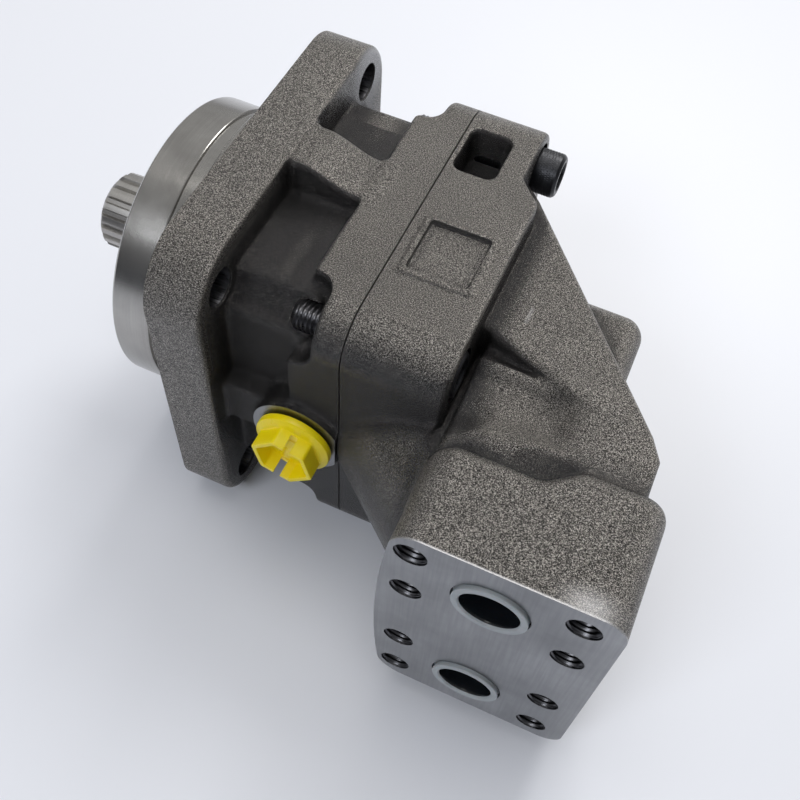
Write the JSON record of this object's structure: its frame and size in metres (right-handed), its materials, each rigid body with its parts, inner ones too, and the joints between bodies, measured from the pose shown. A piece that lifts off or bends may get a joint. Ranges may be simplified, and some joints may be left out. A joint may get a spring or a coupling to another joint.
{
  "type": "bent-axis hydraulic piston motor",
  "caption": "Bent-axis axial-piston hydraulic motor with a square bolt-on flange, long round pilot, splined output shaft and two side flange ports.",
  "frame": {"origin": "centre of the flange's mounting face, on the shaft axis", "axes": "+X out along the output shaft; +Y square to the port face, the way the barrel housing bends; +Z along the line through the two ports"},
  "size_m": [0.305, 0.2401, 0.182],
  "materials": {
    "cast_housing": "sand-cast skin with a light oil film, machined faces satin grey",
    "shaft_steel": "turned and hobbed steel",
    "black_steel": "black oxide",
    "bearing_steel": "ground",
    "cage_steel": "pressed sheet",
    "hardened_steel": "hardened and ground",
    "bronze": "machined bronze",
    "ring_iron": "ground",
    "seal_rubber": "matt",
    "yellow_plastic": "moulded polyethylene",
    "grey_plastic": "moulded polyethylene"
  },
  "bodies": {
    "housing": {"bearing_housing": "cast_housing", "barrel_housing": "cast_housing", "housing_o_ring": "seal_rubber", "housing_screws": "black_steel", "front_bearing_cup": "bearing_steel", "rear_bearing_cup": "bearing_steel", "shaft_seal": "seal_rubber", "seal_circlip": "black_steel", "valve_plate": "bronze", "valve_plate_dowel": "bearing_steel", "drain_plug": "yellow_plastic", "drain_plug_washer": "seal_rubber", "rear_drain_plug": "black_steel", "rear_drain_washer": "seal_rubber", "flushing_plug": "black_steel", "flushing_washer": "seal_rubber", "port_plug_a": "grey_plastic", "port_plug_b": "grey_plastic"},
    "shaft": {"output_shaft": "shaft_steel", "piston_retainer": "hardened_steel", "retainer_screws": "black_steel", "shaft_timing_gear": "hardened_steel", "bearing_nut": "hardened_steel", "front_bearing_cone": "bearing_steel", "rear_bearing_cone": "bearing_steel"},
    "barrel": {"cylinder_barrel": "hardened_steel", "barrel_timing_gear": "hardened_steel", "support_pin": "bearing_steel", "barrel_spring": "bearing_steel"},
    "front_roller_set": {"front_bearing_rollers": "bearing_steel", "front_bearing_cage": "cage_steel"},
    "rear_roller_set": {"rear_bearing_rollers": "bearing_steel", "rear_bearing_cage": "cage_steel"},
    "seat_1": {"piston_seat_1": "bronze"},
    "piston_1": {"piston_1": "hardened_steel", "piston_ring_1": "ring_iron"},
    "seat_2": {"piston_seat_2": "bronze"},
    "piston_2": {"piston_2": "hardened_steel", "piston_ring_2": "ring_iron"},
    "seat_3": {"piston_seat_3": "bronze"},
    "piston_3": {"piston_3": "hardened_steel", "piston_ring_3": "ring_iron"},
    "seat_4": {"piston_seat_4": "bronze"},
    "piston_4": {"piston_4": "hardened_steel", "piston_ring_4": "ring_iron"},
    "seat_5": {"piston_seat_5": "bronze"},
    "piston_5": {"piston_5": "hardened_steel", "piston_ring_5": "ring_iron"},
    "seat_6": {"piston_seat_6": "bronze"},
    "piston_6": {"piston_6": "hardened_steel", "piston_ring_6": "ring_iron"},
    "seat_7": {"piston_seat_7": "bronze"},
    "piston_7": {"piston_7": "hardened_steel", "piston_ring_7": "ring_iron"}
  },
  "joints": [
    {"name": "shaft_spin", "type": "hinge", "parent": "housing", "child": "shaft", "pos_m": [0, 0, 0], "axis": [1, 0, 0], "continuous": true},
    {"name": "barrel_spin", "type": "hinge", "parent": "housing", "child": "barrel", "pos_m": [-0.072, 0, 0], "axis": [0.766, -0.6428, 0], "continuous": true},
    {"name": "front_cage_orbit", "type": "hinge", "parent": "housing", "child": "front_roller_set", "pos_m": [0.012, 0, 0], "axis": [1, 0, 0], "continuous": true},
    {"name": "rear_cage_orbit", "type": "hinge", "parent": "housing", "child": "rear_roller_set", "pos_m": [-0.034, 0, 0], "axis": [1, 0, 0], "continuous": true},
    {"name": "seat_float_1", "type": "hinge", "parent": "shaft", "child": "seat_1", "pos_m": [-0.072, 0.03, 0], "axis": [1, 0, 0], "continuous": true},
    {"name": "piston_swivel_1", "type": "hinge", "parent": "seat_1", "child": "piston_1", "pos_m": [-0.072, 0.03, 0], "axis": [0.766, -0.6428, 0], "continuous": true},
    {"name": "seat_float_2", "type": "hinge", "parent": "shaft", "child": "seat_2", "pos_m": [-0.072, 0.0187, 0.02345], "axis": [1, 0, 0], "continuous": true},
    {"name": "piston_swivel_2", "type": "hinge", "parent": "seat_2", "child": "piston_2", "pos_m": [-0.072, 0.0187, 0.02345], "axis": [0.766, -0.6428, 0], "continuous": true},
    {"name": "seat_float_3", "type": "hinge", "parent": "shaft", "child": "seat_3", "pos_m": [-0.072, -0.00668, 0.02925], "axis": [1, 0, 0], "continuous": true},
    {"name": "piston_swivel_3", "type": "hinge", "parent": "seat_3", "child": "piston_3", "pos_m": [-0.072, -0.00668, 0.02925], "axis": [0.766, -0.6428, 0], "continuous": true},
    {"name": "seat_float_4", "type": "hinge", "parent": "shaft", "child": "seat_4", "pos_m": [-0.072, -0.02703, 0.01302], "axis": [1, 0, 0], "continuous": true},
    {"name": "piston_swivel_4", "type": "hinge", "parent": "seat_4", "child": "piston_4", "pos_m": [-0.072, -0.02703, 0.01302], "axis": [0.766, -0.6428, 0], "continuous": true},
    {"name": "seat_float_5", "type": "hinge", "parent": "shaft", "child": "seat_5", "pos_m": [-0.072, -0.02703, -0.01302], "axis": [1, 0, 0], "continuous": true},
    {"name": "piston_swivel_5", "type": "hinge", "parent": "seat_5", "child": "piston_5", "pos_m": [-0.072, -0.02703, -0.01302], "axis": [0.766, -0.6428, 0], "continuous": true},
    {"name": "seat_float_6", "type": "hinge", "parent": "shaft", "child": "seat_6", "pos_m": [-0.072, -0.00668, -0.02925], "axis": [1, 0, 0], "continuous": true},
    {"name": "piston_swivel_6", "type": "hinge", "parent": "seat_6", "child": "piston_6", "pos_m": [-0.072, -0.00668, -0.02925], "axis": [0.766, -0.6428, 0], "continuous": true},
    {"name": "seat_float_7", "type": "hinge", "parent": "shaft", "child": "seat_7", "pos_m": [-0.072, 0.0187, -0.02345], "axis": [1, 0, 0], "continuous": true},
    {"name": "piston_swivel_7", "type": "hinge", "parent": "seat_7", "child": "piston_7", "pos_m": [-0.072, 0.0187, -0.02345], "axis": [0.766, -0.6428, 0], "continuous": true}
  ],
  "couplings": [
    {"joint": "barrel_spin", "follows": "shaft_spin", "ratio": 1},
    {"joint": "front_cage_orbit", "follows": "shaft_spin", "ratio": 0.432},
    {"joint": "rear_cage_orbit", "follows": "shaft_spin", "ratio": 0.434},
    {"joint": "seat_float_1", "follows": "shaft_spin", "ratio": -1},
    {"joint": "piston_swivel_1", "follows": "shaft_spin", "ratio": -1},
    {"joint": "seat_float_2", "follows": "shaft_spin", "ratio": -1},
    {"joint": "piston_swivel_2", "follows": "shaft_spin", "ratio": -1},
    {"joint": "seat_float_3", "follows": "shaft_spin", "ratio": -1},
    {"joint": "piston_swivel_3", "follows": "shaft_spin", "ratio": -1},
    {"joint": "seat_float_4", "follows": "shaft_spin", "ratio": -1},
    {"joint": "piston_swivel_4", "follows": "shaft_spin", "ratio": -1},
    {"joint": "seat_float_5", "follows": "shaft_spin", "ratio": -1},
    {"joint": "piston_swivel_5", "follows": "shaft_spin", "ratio": -1},
    {"joint": "seat_float_6", "follows": "shaft_spin", "ratio": -1},
    {"joint": "piston_swivel_6", "follows": "shaft_spin", "ratio": -1},
    {"joint": "seat_float_7", "follows": "shaft_spin", "ratio": -1},
    {"joint": "piston_swivel_7", "follows": "shaft_spin", "ratio": -1}
  ]
}
